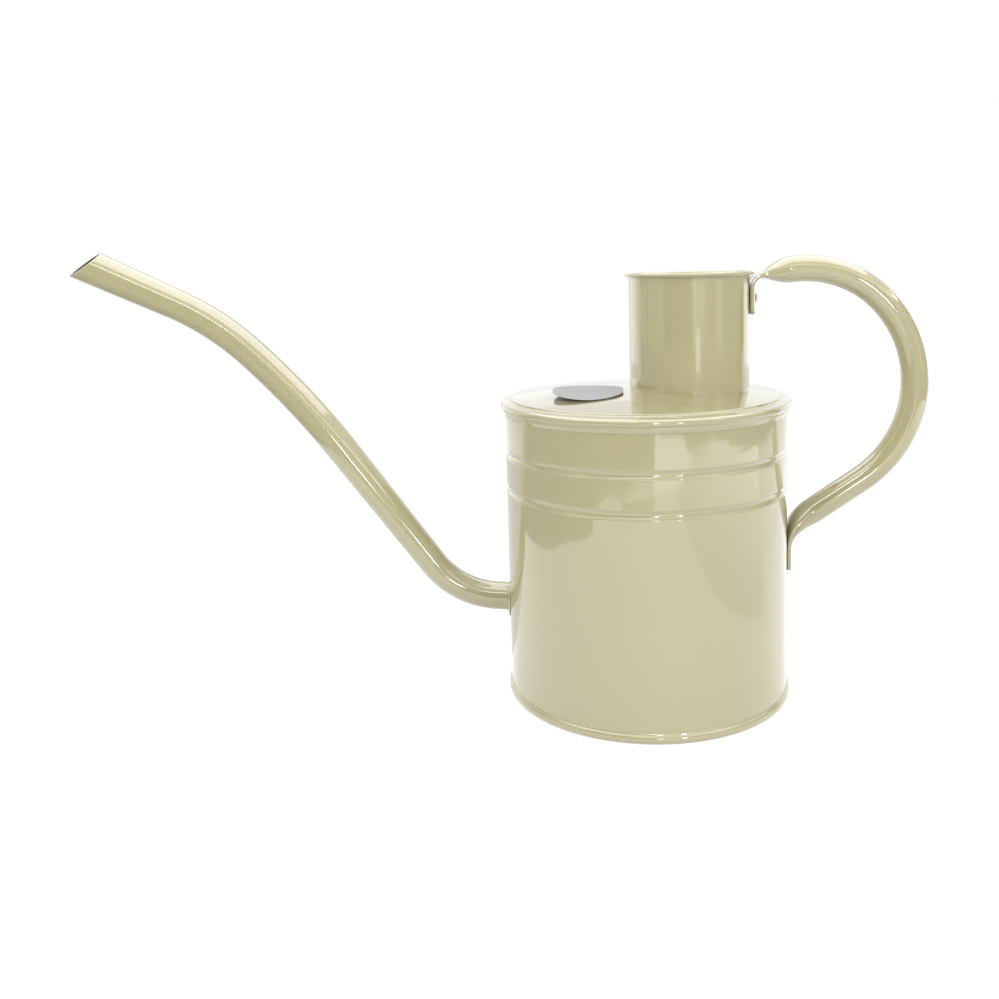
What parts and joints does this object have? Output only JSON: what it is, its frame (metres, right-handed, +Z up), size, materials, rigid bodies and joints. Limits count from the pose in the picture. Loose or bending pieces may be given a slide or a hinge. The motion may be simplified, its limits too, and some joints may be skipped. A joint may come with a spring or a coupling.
{
  "type": "watering can",
  "caption": "Indoor watering can with a cylindrical body, offset filler neck, long upswept spout and looped tube handle",
  "frame": {"origin": "centre of the flat ring the can stands on, on the body's axis", "axes": "+Z up along the body's axis, spout towards -X, handle towards +X"},
  "size_m": [0.3402, 0.1134, 0.1787],
  "materials": {
    "paint": "gloss cream enamel on sheet steel",
    "sticker": "plain grey paper sticker with a satin coat"
  },
  "bodies": {
    "root": {"body_shell": "paint", "base_plate": "paint", "top_plate": "paint", "filler_neck": "paint", "spout_tube": "paint", "spout_collar": "paint", "handle": "paint", "handle_rivet": "paint", "lid_sticker": "sticker"}
  },
  "joints": []
}
